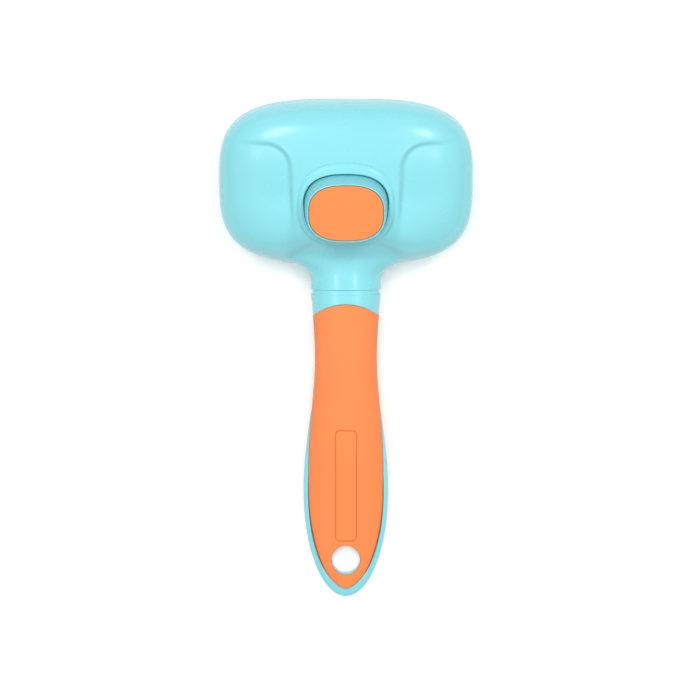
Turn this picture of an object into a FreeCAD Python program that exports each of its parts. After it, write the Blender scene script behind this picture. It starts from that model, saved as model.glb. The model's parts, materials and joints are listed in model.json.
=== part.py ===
import FreeCAD, Part

import math
import os

# A self-cleaning slicker brush, in millimetres. Pressing the button in the back of the head pushes a perforated
# plate out along the wire pins, which strips the hair off them, and two springs bring it back.
#
# The brush lies on a table, pins down: it rests on the pins nearest to the handle and on the end of the handle.
# +Z is up, +Y runs from the end of the handle to the far edge of the head, +X runs across, and the origin is at
# the middle of the underside of the whole brush.
#
# Handle parts are drawn in the handle's frame: y is the distance from the end of the handle, z is up from its
# middle plane. Head parts are drawn in the head's frame: x across, y away from the handle, z out of the back of
# the head, with 0 at the middle of the plane where the two halves of the housing meet.

V = FreeCAD.Vector

# The head's place on the handle
HEAD_Y = 169.3
HEAD_Z = 4.75
HEAD_ANGLE = 12.5

# Head outline: a superellipse, longer and rounder towards the handle
HEAD_HALF_WIDTH = 51.0
HEAD_FAR = 33.4
HEAD_NEAR = 34.0
FAR_POWER = 3.3
NEAR_POWER = 3.1
BACK_HEIGHT = 18.0
BACK_POWER = 2.5
FRONT_DEPTH = 9.2
FRONT_POWER = 6.0
WALL = 2.2
WALL_ROOT = -6.6

# Neck
NECK_START = 126.0
SOCKET_END = 146.0
NECK_HALF_WIDTH = 14.25
NECK_HALF_THICKNESS = 10.0
NECK_POWER = 2.1
# distance along the neck, then how much wider and how much thicker each half of the section is there
NECK_FLARE = ((0.0, 0.0, 0.0), (5.0, 0.1, 0.0), (8.6, 2.6, -0.3), (11.2, 7.6, -1.6), (14.0, 14.5, -3.6),
              (22.0, 20.0, -4.6))
PARTING_BREAK = -30.0

# Push button, measured in the head's frame
BUTTON_Y = -6.0
BUTTON_HALF = (16.5, 12.9)
BUTTON_POWER = 2.6
BUTTON_DRAFT = 1.2
BUTTON_TOP = 28.0
BUTTON_WALL = 1.6
BUTTON_EDGE = 0.5
BUTTON_GAP = 0.5
FLANGE_HALF = (19.0, 15.4)
FLANGE_LOW = 12.6
FLANGE_HIGH = 14.2
FLANGE_CLEAR = 0.7
STOP_GAP = 0.2
STOP_WIDTH = 2.2
COLLAR_WIDTH = 3.2
COLLAR_RISE = 0.25
PAD_GAP = 0.25
PAD_RIM = 0.5
PAD_DEPTH = 1.4
PAD_CROWN = 0.5
LUG_X = 20.6
LUG_R = 2.6

# Ejector plate and the opening that it slides in
PLATE_Y = -0.3
OPENING_HALF = (43.0, 25.6)
OPENING_POWER = 3.0
OPENING_GAP = 0.6
GUIDE_WALL = 1.4
PLATE_FACE = -8.2
PLATE_THICK = 2.0
PLATE_EDGE = 0.6
TRAVEL = 8.0
SKIRT_TOP = 0.9
SKIRT_WALL = 1.6
PIN_HOLE_R = 0.85

# Pin carrier and its backing plate
CARRIER_GAP = 0.6
CARRIER_LOW = -3.5
CARRIER_HIGH = -1.0
BACKING_HIGH = 0.8
BACKING_INSET = 1.5

# Wire pins
PIN_R = 0.24
PIN_PITCH_X = 3.8
PIN_PITCH_Y = 3.4
PIN_FIELD = (37.6, 20.6)
KNEE = PLATE_FACE - TRAVEL - 1.6
KNEE_ANGLE = 18.0
KNEE_LENGTH = 5.4
TIP_R = 0.55
LEG_CLEAR = 4.4
SCREW_CLEAR = 3.2
SUPPORT_EVERY = 3

# Yoke, its four legs and the screws in their ends
YOKE_LOW = 10.4
YOKE_RING_INSET = 4.4
LEG_R = 3.0
LEG_PAD_R = 4.6
LEG_FIT = 0.06
LEGS = ((-32.0, -6.0), (32.0, -6.0), (-14.0, 14.0), (14.0, 14.0))
ARM_WIDTH = 7.0
# the start and the end of each arm on the right-hand side
ARMS = ((15.0, -3.0, 32.0, -6.0), (9.0, 6.0, 14.0, 14.0))

# Bosses of the housing halves
CARRIER_BOSSES = ((-34.0, 10.5), (34.0, 10.5), (-25.0, -17.0), (25.0, -17.0))
CARRIER_BOSS_R = 3.4
CORNER_BOSSES = ((-38.0, 24.0), (38.0, 24.0), (-36.0, -25.0), (36.0, -25.0))
CORNER_BOSS_R = 2.9
CARRIER_BOSS_TOP = 15.0
CORNER_BOSS_TOP = 12.0
BOSS_HOLE_TOP = 8.0
NECK_BOSS_R = 2.8

# Return springs
SPRING_X = 8.0
SPRING_MEAN_R = 3.6
SPRING_WIRE = 0.9
SPRING_TURNS = 7
SPIGOT_R = 2.6
SPIGOT_TOP = 8.0
SPRING_PEG = 1.6

# Handle
TIP_LENGTH = 43.1
BELLY_HALF_WIDTH = 17.25
WAIST_HALF_WIDTH = 12.65
BELLY_END = 45.0
WAIST = 98.0
COLLAR_HALF_WIDTH = 14.25
COLLAR_END = 124.3
TIP_HALF_THICKNESS = 4.3
GRIP_HALF_THICKNESS = 10.0
SECTION_POWER = 2.25
RIM_INSET = 1.75
RIM_HALF_THICKNESS = 2.5
RIM_END = 97.0
NOSE_INSET = 3.55
NOSE_LENGTH = 9.0
SKIN = 2.2
TIP_SKIN = 1.4
HOLE_Y = 15.4
HOLE_R = 5.75
GRIP_HOLE_R = 6.15
ARCH_TOP = 120.4
ARCH_R = 22.9
GROOVE_DEPTH = 0.75
TANG_END = 139.0
TANG_HALF = (11.2, 6.6)
TANG_POWER = 2.6
TANG_GAP = 0.3
LABEL_WIDTH = 8.6
LABEL_LENGTH = 46.0
LABEL_MIDDLE = 46.4
LABEL_DEPTH = 0.4

# Screws: radius and height of the head, radius and length of the shank
CARRIER_SCREW = (1.9, 1.2, 1.0, 9.0)
HOUSING_SCREW = (2.0, 1.4, 1.0, 10.5)
BUTTON_SCREW = (1.8, 1.0, 1.0, 3.8)
EJECTOR_SCREW = (2.0, 1.2, 1.0, 6.5)
NECK_SCREW = (2.2, 1.1, 1.2, 16.0)
NECK_SCREW_Y = 133.5
NECK_SCREW_LOW = -8.6
HOUSING_SCREW_LOW = -6.0
SEAT_GAP = 0.1
CAP_R = 2.5
CAP_LOW = -9.5
CAP_HIGH = -8.7


# ---------------------------------------------------------------- shapes

def superellipse(centre, half_x, half_far, half_near, far_power, near_power, count=48):
    """Points of a closed outline, |x/a|^n + |y/b|^n = 1, whose half towards -y has its own length and power."""
    points = []
    for k in range(count):
        t = 2 * math.pi * k / count
        c = math.cos(t)
        s = math.sin(t)
        power = far_power if s > 0 else near_power
        length = half_far if s > 0 else half_near
        x = half_x * math.copysign(abs(c) ** (2 / power), c)
        y = length * math.copysign(abs(s) ** (2 / power), s)
        points.append((centre[0] + x, centre[1] + y))
    return points


def closed_curve(points):
    """A closed smooth wire through 3-D points."""
    curve = Part.BSplineCurve()
    curve.interpolate(Points=points, PeriodicFlag=True)
    return Part.Wire([curve.toShape()])


def level(points, z):
    """The wire of an outline at height z."""
    return closed_curve([V(x, y, z) for x, y in points])


def prism(points, low, high):
    """An outline extruded from one height to another."""
    return Part.Face(level(points, low)).extrude(V(0, 0, high - low))


def tapered(low_points, low, high_points, high):
    """A straight-sided solid between two outlines."""
    return Part.makeLoft([level(low_points, low), level(high_points, high)], True, True)


def rod(x, y, low, high, radius):
    """An upright cylinder."""
    return Part.makeCylinder(radius, high - low, V(x, y, low))


def box(x0, x1, y0, y1, z0, z1):
    """A box given by its limits."""
    return Part.makeBox(x1 - x0, y1 - y0, z1 - z0, V(x0, y0, z0))


def screw(x, y, low, sizes):
    """A screw whose head starts at height low and whose shank points up, with a cross in the head."""
    head_r, head_h, shank_r, length = sizes
    head = rod(x, y, low, low + head_h, head_r)
    shank = rod(x, y, low + head_h, low + head_h + length, shank_r)
    solid = head.fuse(shank)
    reach = head_r * 0.65
    slot = 0.22 * head_r
    for along, across in ((reach, slot), (slot, reach)):
        solid = solid.cut(box(x - along, x + along, y - across, y + across, low - 1, low + head_h * 0.5))
    return solid


def screw_seat(x, y, low, sizes):
    """The hole that takes a screw's head, open below."""
    head_r, head_h, shank_r, length = sizes
    return rod(x, y, low - 20, low + head_h, head_r + SEAT_GAP)


def smooth(t):
    """A smooth step from 0 to 1."""
    t = min(max(t, 0.0), 1.0)
    return t * t * (3 - 2 * t)


# ---------------------------------------------------------------- placing

def rest_angle():
    """The angle at which the beads nearest to the handle and the end of the lower grip are level."""
    near_row = min(y for x, y, near in pin_places())
    bead = head_placement().multVec(bead_centre() + V(0, near_row, 0))
    grip = [(NOSE_INSET + 0.5 * k, -grip_section(NOSE_INSET + 0.5 * k, False)[1]) for k in range(80)]
    low = 0.0
    high = 20.0
    for step in range(40):
        angle = math.radians((low + high) / 2)
        bead_low = bead.y * math.sin(angle) + bead.z * math.cos(angle) - TIP_R
        grip_low = min(y * math.sin(angle) + z * math.cos(angle) for y, z in grip)
        if bead_low < grip_low:
            low = math.degrees(angle)
        else:
            high = math.degrees(angle)
    return low


def in_rest(shape, angle):
    """Lays the handle's frame down on the table."""
    turned = FreeCAD.Placement(V(0, 0, 0), FreeCAD.Rotation(V(1, 0, 0), angle))
    shape.Placement = turned.multiply(shape.Placement)
    return shape


def head_placement():
    """From the head's frame to the handle's frame."""
    return FreeCAD.Placement(V(0, HEAD_Y, HEAD_Z), FreeCAD.Rotation(V(1, 0, 0), HEAD_ANGLE))


def to_handle(shape):
    """A shape of the head's frame, in the handle's frame."""
    moved = shape.copy()
    moved.Placement = head_placement().multiply(moved.Placement)
    return moved


def to_head(shape):
    """A shape of the handle's frame, in the head's frame."""
    moved = shape.copy()
    moved.Placement = head_placement().inverse().multiply(moved.Placement)
    return moved


# ---------------------------------------------------------------- housing

def head_ring(inset, scale):
    """The head's outline moved in by a wall and scaled about its middle."""
    half = (HEAD_HALF_WIDTH - inset) * scale
    far = (HEAD_FAR - inset) * scale
    near = (HEAD_NEAR - inset) * scale
    return superellipse((0, 0), half, far, near, FAR_POWER, NEAR_POWER)


def head_rings(inset, parts, height, power):
    """The outlines at parts of a height: they shrink as (1 - part^power)^(1/n)."""
    mean = (FAR_POWER + NEAR_POWER) / 2
    return [level(head_ring(inset, (1 - abs(p) ** power) ** (1 / mean)), height * p) for p in parts]


def head_body(inset):
    """The head as two stacks of outlines, a shallow boxy one in front of the parting plane and a dome behind."""
    front = head_rings(inset, (-0.95, -0.91, -0.86, -0.79, -0.7, -0.55, -0.3, 0.0), FRONT_DEPTH - inset, FRONT_POWER)
    back = head_rings(inset, (0.0, 0.25, 0.5, 0.7, 0.85, 0.94, 0.98, 0.995), BACK_HEIGHT - inset, BACK_POWER)
    return Part.makeLoft(front, True, False, False, 3).fuse(Part.makeLoft(back, True, False))


def cross_section(y, half_width, half_thickness, power=SECTION_POWER, middle=0.0):
    """A closed section across the handle at y."""
    points = superellipse((0, middle), half_width, half_thickness, half_thickness, power, power, 32)
    return closed_curve([V(x, y, z) for x, z in points])


def neck_body():
    """The neck: an oval tube that flares sideways into the head."""
    sections = []
    for along, wider, thicker in NECK_FLARE:
        half = NECK_HALF_WIDTH + wider
        sections.append(cross_section(NECK_START + along, half, NECK_HALF_THICKNESS + thicker, NECK_POWER))
    return to_head(Part.makeLoft(sections, True, False))


def neck_hollow():
    """The socket of the tang, which opens into the head."""
    half = TANG_HALF[0] + TANG_GAP
    thick = TANG_HALF[1] + TANG_GAP
    ends = [cross_section(y, half, thick, TANG_POWER) for y in (NECK_START - 1.0, SOCKET_END)]
    return to_head(Part.makeLoft(ends, True, True))


def above_parting():
    """Everything behind the parting surface: flat through the head, then up to the middle of the neck."""
    joint = head_placement().inverse().multVec(V(0, NECK_START, 0))
    slope = joint.z / (joint.y - PARTING_BREAK)
    reach = 100.0
    profile = [V(-reach, reach, 0), V(-reach, PARTING_BREAK, 0), V(-reach, -reach, slope * (-reach - PARTING_BREAK)),
               V(-reach, -reach, reach), V(-reach, reach, reach)]
    return Part.Face(Part.makePolygon(profile + profile[:1])).extrude(V(2 * reach, 0, 0))


def neck_cut():
    """What lies beyond the joint between neck and collar."""
    return to_head(box(-60, 60, NECK_START - 60, NECK_START, -60, 60))


def opening_outline(grow):
    """The outline of the ejector plate's opening, grown or shrunk."""
    a = OPENING_HALF[0] + grow
    b = OPENING_HALF[1] + grow
    return superellipse((0, PLATE_Y), a, b, b, OPENING_POWER, OPENING_POWER)


def button_outline(half, grow):
    """An outline round the middle of the button."""
    a = half[0] + grow
    b = half[1] + grow
    return superellipse((0, BUTTON_Y), a, b, b, BUTTON_POWER, BUTTON_POWER)


def neck_screw_hole(radius, low, high):
    """A hole of the neck's screw, in the head's frame."""
    return to_head(rod(0, NECK_SCREW_Y, low, high, radius))


def housing_halves():
    """The two halves of the housing: walls, bosses, the button's collar and the plate's guide wall."""
    outer = head_body(0.0).fuse(neck_body()).cut(neck_cut())
    hollow = head_body(WALL).fuse(neck_hollow())
    shell = outer.cut(hollow)
    behind = above_parting()

    rear = shell.common(behind)
    stop = prism(button_outline(BUTTON_HALF, STOP_WIDTH), FLANGE_HIGH + STOP_GAP, BACK_HEIGHT - 1.0)
    inside = [stop]
    inside += [rod(x, y, BACKING_HIGH, CARRIER_BOSS_TOP, CARRIER_BOSS_R) for x, y in CARRIER_BOSSES]
    inside += [rod(x, y, 0.0, CORNER_BOSS_TOP, CORNER_BOSS_R) for x, y in CORNER_BOSSES]
    inside += [to_head(rod(0, NECK_SCREW_Y, TANG_HALF[1], NECK_HALF_THICKNESS, NECK_BOSS_R))]
    for piece in inside:
        rear = rear.fuse(piece.common(outer))
    rear = rear.fuse(prism(button_outline(BUTTON_HALF, COLLAR_WIDTH), BACK_HEIGHT - 3.0, BACK_HEIGHT + COLLAR_RISE))
    rear = rear.cut(prism(button_outline(BUTTON_HALF, BUTTON_GAP), 5.0, 30.0))
    rear = rear.cut(prism(button_outline(FLANGE_HALF, FLANGE_CLEAR), 5.0, FLANGE_HIGH + STOP_GAP))
    for x, y in CARRIER_BOSSES:
        rear = rear.cut(rod(x, y, 0.0, BOSS_HOLE_TOP, CARRIER_SCREW[2]))
    for x, y in CORNER_BOSSES:
        rear = rear.cut(rod(x, y, -1.0, BOSS_HOLE_TOP, HOUSING_SCREW[2]))
    rear = rear.cut(neck_screw_hole(NECK_SCREW[2], 0.0, NECK_HALF_THICKNESS - 1.2))

    front = shell.cut(behind)
    front = front.fuse(prism(opening_outline(GUIDE_WALL), WALL_ROOT, 0.0))
    for x, y in CORNER_BOSSES:
        front = front.fuse(rod(x, y, WALL_ROOT, 0.0, CORNER_BOSS_R))
    front = front.cut(prism(opening_outline(0.0), -20.0, 5.0))
    for x, y in CORNER_BOSSES:
        front = front.cut(rod(x, y, -20.0, 1.0, HOUSING_SCREW[2]))
        front = front.cut(screw_seat(x, y, HOUSING_SCREW_LOW, HOUSING_SCREW))
    front = front.cut(neck_screw_hole(NECK_SCREW[2], -20.0, 0.0))
    front = front.cut(neck_screw_hole(CAP_R + SEAT_GAP, -20.0, NECK_SCREW_LOW + NECK_SCREW[1]))
    return rear, front


# ---------------------------------------------------------------- pins

def pin_places():
    """Staggered rows of pins inside a superellipse, clear of the legs and the carrier's screws; the last value
    says whether a pin is in the row nearest to the handle."""
    places = []
    rows = int(PIN_FIELD[1] / PIN_PITCH_Y)
    columns = int(PIN_FIELD[0] / PIN_PITCH_X) + 1
    for row in range(-rows, rows + 1):
        y = PLATE_Y + row * PIN_PITCH_Y
        shift = 0.5 * (row % 2)
        for column in range(-columns, columns + 1):
            x = (column + shift) * PIN_PITCH_X
            reach = abs(x / PIN_FIELD[0]) ** 3 + abs((y - PLATE_Y) / PIN_FIELD[1]) ** 3
            clear = all(math.hypot(x - a, y - b) > LEG_CLEAR for a, b in LEGS)
            free = all(math.hypot(x - a, y - b) > SCREW_CLEAR for a, b in CARRIER_BOSSES)
            if reach < 1 and clear and free:
                places.append((x, y, row == -rows))
    return places


def pin_solid():
    """One wire pin at x = y = 0: straight through both plates, then bent towards the handle."""
    bend = math.radians(KNEE_ANGLE)
    straight = Part.makeCylinder(PIN_R, CARRIER_HIGH - KNEE, V(0, 0, KNEE))
    bent = Part.makeCylinder(PIN_R, KNEE_LENGTH, V(0, 0, KNEE), V(0, -math.sin(bend), -math.cos(bend)))
    return straight.fuse(bent).fuse(Part.makeSphere(PIN_R, V(0, 0, KNEE)))


def bead_centre():
    """The middle of the bead of a pin at x = y = 0."""
    bend = math.radians(KNEE_ANGLE)
    return V(0, 0, KNEE) + V(0, -math.sin(bend), -math.cos(bend)) * (KNEE_LENGTH - 0.1)


def tip_solid():
    """The bead on one pin's end, with the hole that the wire is in."""
    return Part.makeSphere(TIP_R, bead_centre()).cut(pin_solid())


def copies(solid, places):
    """Copies of one solid, moved to each place."""
    moved = []
    for x, y in places:
        piece = solid.copy()
        piece.translate(V(x, y, 0))
        moved.append(piece)
    return Part.makeCompound(moved)


def split_pins():
    """The places of the plain pins, and of the few that carry the head when the brush is laid down."""
    near_row = [(x, y) for x, y, near in pin_places() if near]
    support = near_row[::SUPPORT_EVERY]
    plain = [(x, y) for x, y, near in pin_places() if (x, y) not in support]
    return plain, support


def holes(radius, low, high):
    """One hole for every pin."""
    return Part.makeCompound([rod(x, y, low, high, radius) for x, y, near in pin_places()])


def carrier_outline(grow):
    """The outline of the pin carrier, inside the skirt of the ejector plate."""
    inset = OPENING_GAP + SKIRT_WALL + CARRIER_GAP
    return opening_outline(grow - inset)


def leg_bores(low, high):
    """The bores that guide the legs."""
    return Part.makeCompound([rod(x, y, low, high, LEG_R + LEG_FIT) for x, y in LEGS])


def pin_carrier():
    """The plate that the pins are pressed through."""
    plate = prism(carrier_outline(0.0), CARRIER_LOW, CARRIER_HIGH)
    plate = plate.cut(holes(PIN_R, CARRIER_LOW - 1, CARRIER_HIGH + 1))
    plate = plate.cut(leg_bores(CARRIER_LOW - 1, CARRIER_HIGH + 1))
    for x, y in CARRIER_BOSSES:
        plate = plate.cut(rod(x, y, CARRIER_LOW - 1, CARRIER_HIGH + 1, CARRIER_SCREW[2]))
        plate = plate.cut(screw_seat(x, y, CARRIER_LOW, CARRIER_SCREW))
    return plate


def pin_backing_plate():
    """The plate behind the pins, with a spigot for each spring."""
    plate = prism(carrier_outline(-BACKING_INSET), CARRIER_HIGH, BACKING_HIGH)
    for side in (-1, 1):
        plate = plate.fuse(rod(side * SPRING_X, BUTTON_Y, BACKING_HIGH, SPIGOT_TOP, SPIGOT_R))
    plate = plate.cut(leg_bores(CARRIER_HIGH - 1, BACKING_HIGH + 1))
    for x, y in CARRIER_BOSSES:
        plate = plate.cut(rod(x, y, CARRIER_HIGH - 1, BACKING_HIGH + 1, CARRIER_SCREW[2]))
    return plate


# ---------------------------------------------------------------- ejector

def ejector_plate():
    """The perforated plate with its skirt, and a seat for each leg's screw."""
    outline = opening_outline(-OPENING_GAP)
    shoulder = PLATE_FACE + PLATE_EDGE
    body = tapered(opening_outline(-OPENING_GAP - PLATE_EDGE), PLATE_FACE, outline, shoulder)
    body = body.fuse(prism(outline, shoulder, SKIRT_TOP))
    inner = opening_outline(-OPENING_GAP - SKIRT_WALL)
    body = body.cut(prism(inner, PLATE_FACE + PLATE_THICK, SKIRT_TOP + 1))
    body = body.cut(holes(PIN_HOLE_R, PLATE_FACE - 1, PLATE_FACE + PLATE_THICK + 1))
    for x, y in LEGS:
        body = body.cut(rod(x, y, PLATE_FACE - 1, PLATE_FACE + PLATE_THICK + 1, EJECTOR_SCREW[2]))
        body = body.cut(screw_seat(x, y, PLATE_FACE, EJECTOR_SCREW))
    return body


def arm(x0, y0, x1, y1):
    """A flat bar of the yoke between two points."""
    length = math.hypot(x1 - x0, y1 - y0)
    bar = box(0, length, -ARM_WIDTH / 2, ARM_WIDTH / 2, YOKE_LOW, FLANGE_LOW)
    bar.rotate(V(0, 0, 0), V(0, 0, 1), math.degrees(math.atan2(y1 - y0, x1 - x0)))
    bar.translate(V(x0, y0, 0))
    return bar


def pusher_yoke():
    """A ring under the button's flange, four arms, and a leg at the end of each."""
    yoke = prism(button_outline(FLANGE_HALF, 0.0), YOKE_LOW, FLANGE_LOW)
    for side in (-1, 1):
        yoke = yoke.fuse(rod(side * LUG_X, BUTTON_Y, YOKE_LOW, FLANGE_LOW, LUG_R + 1.0))
        for x0, y0, x1, y1 in ARMS:
            yoke = yoke.fuse(arm(side * x0, y0, side * x1, y1))
    for x, y in LEGS:
        yoke = yoke.fuse(rod(x, y, YOKE_LOW, FLANGE_LOW, LEG_PAD_R))
        yoke = yoke.fuse(rod(x, y, PLATE_FACE + PLATE_THICK, YOKE_LOW, LEG_R))
        yoke = yoke.cut(rod(x, y, PLATE_FACE, 0.0, EJECTOR_SCREW[2]))
    yoke = yoke.cut(prism(button_outline(FLANGE_HALF, -YOKE_RING_INSET), YOKE_LOW - 1, FLANGE_LOW + 1))
    for side in (-1, 1):
        yoke = yoke.cut(rod(side * LUG_X, BUTTON_Y, YOKE_LOW - 1, FLANGE_LOW + 1, BUTTON_SCREW[2]))
    return yoke.removeSplitter()


def button_shell():
    """The push button: flange with two lugs, straight skirt, drafted oval wall, and a seat for the pad."""
    base = BUTTON_HALF
    top = (base[0] - BUTTON_DRAFT, base[1] - BUTTON_DRAFT)
    flange = prism(button_outline(FLANGE_HALF, 0.0), FLANGE_LOW, FLANGE_HIGH)
    for side in (-1, 1):
        flange = flange.fuse(rod(side * LUG_X, BUTTON_Y, FLANGE_LOW, FLANGE_HIGH, LUG_R))
    body = prism(button_outline(base, 0.0), FLANGE_LOW, BACK_HEIGHT)
    shoulder = BUTTON_TOP - BUTTON_EDGE
    body = body.fuse(tapered(button_outline(base, 0.0), BACK_HEIGHT, button_outline(top, 0.0), shoulder))
    body = body.fuse(tapered(button_outline(top, 0.0), shoulder, button_outline(top, -BUTTON_EDGE), BUTTON_TOP))
    body = flange.fuse(body)
    floor = BUTTON_TOP - PAD_DEPTH - BUTTON_WALL
    hollow_low = button_outline(base, -BUTTON_WALL)
    hollow_high = button_outline(top, -BUTTON_WALL)
    body = body.cut(tapered(hollow_low, FLANGE_LOW - 0.01, hollow_high, floor))
    body = body.cut(prism(button_outline(top, -PAD_RIM), floor + BUTTON_WALL, BUTTON_TOP + 1))
    for side in (-1, 1):
        body = body.fuse(rod(side * SPRING_X, BUTTON_Y, floor - SPRING_PEG, floor, SPIGOT_R))
        body = body.cut(rod(side * LUG_X, BUTTON_Y, FLANGE_LOW - 1, FLANGE_HIGH + 1, BUTTON_SCREW[2]))
    return body.removeSplitter()


def button_pad():
    """The soft pad in the top of the button, with a slightly crowned face."""
    top = (BUTTON_HALF[0] - BUTTON_DRAFT, BUTTON_HALF[1] - BUTTON_DRAFT)
    inset = PAD_RIM + PAD_GAP
    low = BUTTON_TOP - PAD_DEPTH
    body = prism(button_outline(top, -inset), low, BUTTON_TOP)
    crown = tapered(button_outline(top, -inset), BUTTON_TOP, button_outline(top, -inset - 0.9),
                    BUTTON_TOP + PAD_CROWN)
    return body.fuse(crown).removeSplitter()


def return_spring(side):
    """A coil spring on its spigot, with the ends closed flat by a ring."""
    low = BACKING_HIGH + SPRING_WIRE / 2
    high = BUTTON_TOP - PAD_DEPTH - BUTTON_WALL - SPRING_WIRE / 2
    helix = Part.makeHelix((high - low) / SPRING_TURNS, high - low, SPRING_MEAN_R)
    start = V(SPRING_MEAN_R, 0, 0)
    ring = Part.Wire([Part.makeCircle(SPRING_WIRE / 2 - 0.02, start, V(0, 1, 0))])
    coil = Part.Wire(helix).makePipeShell([ring], True, True)
    coil.translate(V(side * SPRING_X, BUTTON_Y, low))
    return coil


# ---------------------------------------------------------------- handle

def half_width(y):
    """Half the handle's width: an elliptical end, a belly, a waist, and a flare to the collar."""
    if y < TIP_LENGTH:
        return BELLY_HALF_WIDTH * math.sqrt(max(1 - (1 - y / TIP_LENGTH) ** 2, 0.0))
    if y < BELLY_END:
        return BELLY_HALF_WIDTH
    if y < WAIST:
        swing = 0.5 + 0.5 * math.cos(math.pi * (y - BELLY_END) / (WAIST - BELLY_END))
        return WAIST_HALF_WIDTH + (BELLY_HALF_WIDTH - WAIST_HALF_WIDTH) * swing
    rise = min((y - WAIST) / (COLLAR_END - WAIST), 1.0)
    return WAIST_HALF_WIDTH + (COLLAR_HALF_WIDTH - WAIST_HALF_WIDTH) * rise ** 1.8


def half_thickness(y):
    """Half the handle's thickness over both grips."""
    return TIP_HALF_THICKNESS + (GRIP_HALF_THICKNESS - TIP_HALF_THICKNESS) * smooth((y - 10.0) / 70.0)


def rim_inset(y):
    """How far the grips stand back from the core's rim, which dives under them at the waist."""
    return RIM_INSET * smooth((87.0 - y) / 44.0)


def grip_half_width(y):
    """Half the width of the grips: an ellipse at the end, then the handle's own width less the inset."""
    if y < TIP_LENGTH:
        reach = (TIP_LENGTH - y) / (TIP_LENGTH - NOSE_INSET)
        return (BELLY_HALF_WIDTH - RIM_INSET) * math.sqrt(max(1 - reach ** 2, 0.0))
    return half_width(y) - rim_inset(y)


def grip_section(y, inner):
    """Half width and half thickness of both grips together, or of the core's spine inside them."""
    narrow = grip_half_width(y)
    nose = max(1 - (y - NOSE_INSET) / NOSE_LENGTH, 0.0)
    thick = RIM_HALF_THICKNESS + (half_thickness(y) - RIM_HALF_THICKNESS) * math.sqrt(max(1 - nose ** 2, 0.0))
    if inner:
        skin = TIP_SKIN + (SKIN - TIP_SKIN) * smooth((y - 18.0) / 30.0)
        return narrow - skin, thick - skin
    return narrow, thick


def grip_loft(stations, inner):
    """A solid through the grip's sections."""
    sections = []
    for y in stations:
        narrow, thick = grip_section(y, inner)
        sections.append(cross_section(y, narrow, thick))
    return Part.makeLoft(sections, True, False)


def rim_body():
    """The core's rim, which shows as a band round the handle's end and fades out at the waist."""
    sections = []
    for y in (0.12, 0.8, 2.4, 5.0, 9.0, 15.0, 24.0, 36.0, 48.0, 61.0, 74.0, 86.0, RIM_END):
        thick = RIM_HALF_THICKNESS - 1.5 * smooth((y - 48.0) / 45.0)
        nose = 0.62 + 0.38 * math.sqrt(min(y / 5.0, 1.0))
        inside = 0.9 * smooth((y - 74.0) / 14.0)
        sections.append(cross_section(y, half_width(y) - inside, thick * nose, 2.6))
    return Part.makeLoft(sections, True, False)


def below_arch():
    """Everything on the handle's side of the arched edge where the grips end."""
    disc = Part.makeCylinder(ARCH_R, 60, V(0, ARCH_TOP - ARCH_R, -30))
    return disc.fuse(box(-40, 40, -20, ARCH_TOP - ARCH_R, -30, 30))


def label_recess(floor):
    """What is cut from the upper grip for the plain label panel: a rounded slab less what lies below its floor."""
    half = LABEL_WIDTH / 2
    start = LABEL_MIDDLE - LABEL_LENGTH / 2
    panel = box(-half, half, start, start + LABEL_LENGTH, 0.0, 30.0)
    upright = [edge for edge in panel.Edges if abs(edge.tangentAt(edge.FirstParameter).z) > 0.9]
    return panel.makeFillet(1.6, upright).cut(floor)


def handle():
    """The core and the two grips, in the handle's frame."""
    stations = (NOSE_INSET + 0.12, 4.6, 6.6, 9.4, 13.0, 19.0, 28.0, 38.0, 48.0, 60.0, 73.0, 86.0, 97.0, 108.0, 117.0,
                COLLAR_END)
    whole = grip_loft(stations, False)
    spine = grip_loft([y for y in stations if y > 9.0], True)
    arch = below_arch()
    rim = rim_body()
    groove_half = (COLLAR_HALF_WIDTH - GROOVE_DEPTH, GRIP_HALF_THICKNESS - GROOVE_DEPTH)
    groove = Part.makeLoft([cross_section(y, *groove_half) for y in (COLLAR_END - 1, NECK_START)], True, True)
    tang = Part.makeLoft([cross_section(y, *TANG_HALF, TANG_POWER) for y in (COLLAR_END, TANG_END)], True, True)
    core = rim.fuse(spine).fuse(whole.cut(arch)).fuse(groove).fuse(tang)
    core = core.cut(rod(0, HOLE_Y, -20, 20, HOLE_R)).cut(rod(0, NECK_SCREW_Y, -20, 20, NECK_SCREW[2]))
    skins = whole.common(arch).cut(rim).cut(spine).cut(rod(0, HOLE_Y, -20, 20, GRIP_HOLE_R))
    upper = skins.common(box(-40, 40, -5, 130, 0, 30))
    lower = skins.common(box(-40, 40, -5, 130, -30, 0))
    floor = whole.copy()
    floor.translate(V(0, 0, -LABEL_DEPTH))
    upper = upper.cut(label_recess(floor))
    return core, upper, lower


# ---------------------------------------------------------------- assembly

def screws(places, low, sizes):
    """One screw at each place."""
    return Part.makeCompound([screw(x, y, low, sizes) for x, y in places])


def head_pieces():
    """Every piece that is drawn in the head's frame, by name."""
    rear, front = housing_halves()
    plain, support = split_pins()
    pin = pin_solid()
    tip = tip_solid()
    lugs = [(side * LUG_X, BUTTON_Y) for side in (-1, 1)]
    return {
        "rear_housing": rear,
        "front_housing": front,
        "pin_carrier": pin_carrier(),
        "pin_backing_plate": pin_backing_plate(),
        "bristle_pins": copies(pin, plain),
        "bristle_tips": copies(tip, plain),
        "support_pins": copies(pin, support),
        "support_tips": copies(tip, support),
        "carrier_screws": screws(CARRIER_BOSSES, CARRIER_LOW, CARRIER_SCREW),
        "housing_screws": screws(CORNER_BOSSES, HOUSING_SCREW_LOW, HOUSING_SCREW),
        "return_spring_left": return_spring(-1),
        "return_spring_right": return_spring(1),
        "button_shell": button_shell(),
        "button_pad": button_pad(),
        "pusher_yoke": pusher_yoke(),
        "button_screws": screws(lugs, YOKE_LOW - BUTTON_SCREW[1], BUTTON_SCREW),
        "ejector_plate": ejector_plate(),
        "ejector_screws": screws(LEGS, PLATE_FACE, EJECTOR_SCREW),
    }


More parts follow.
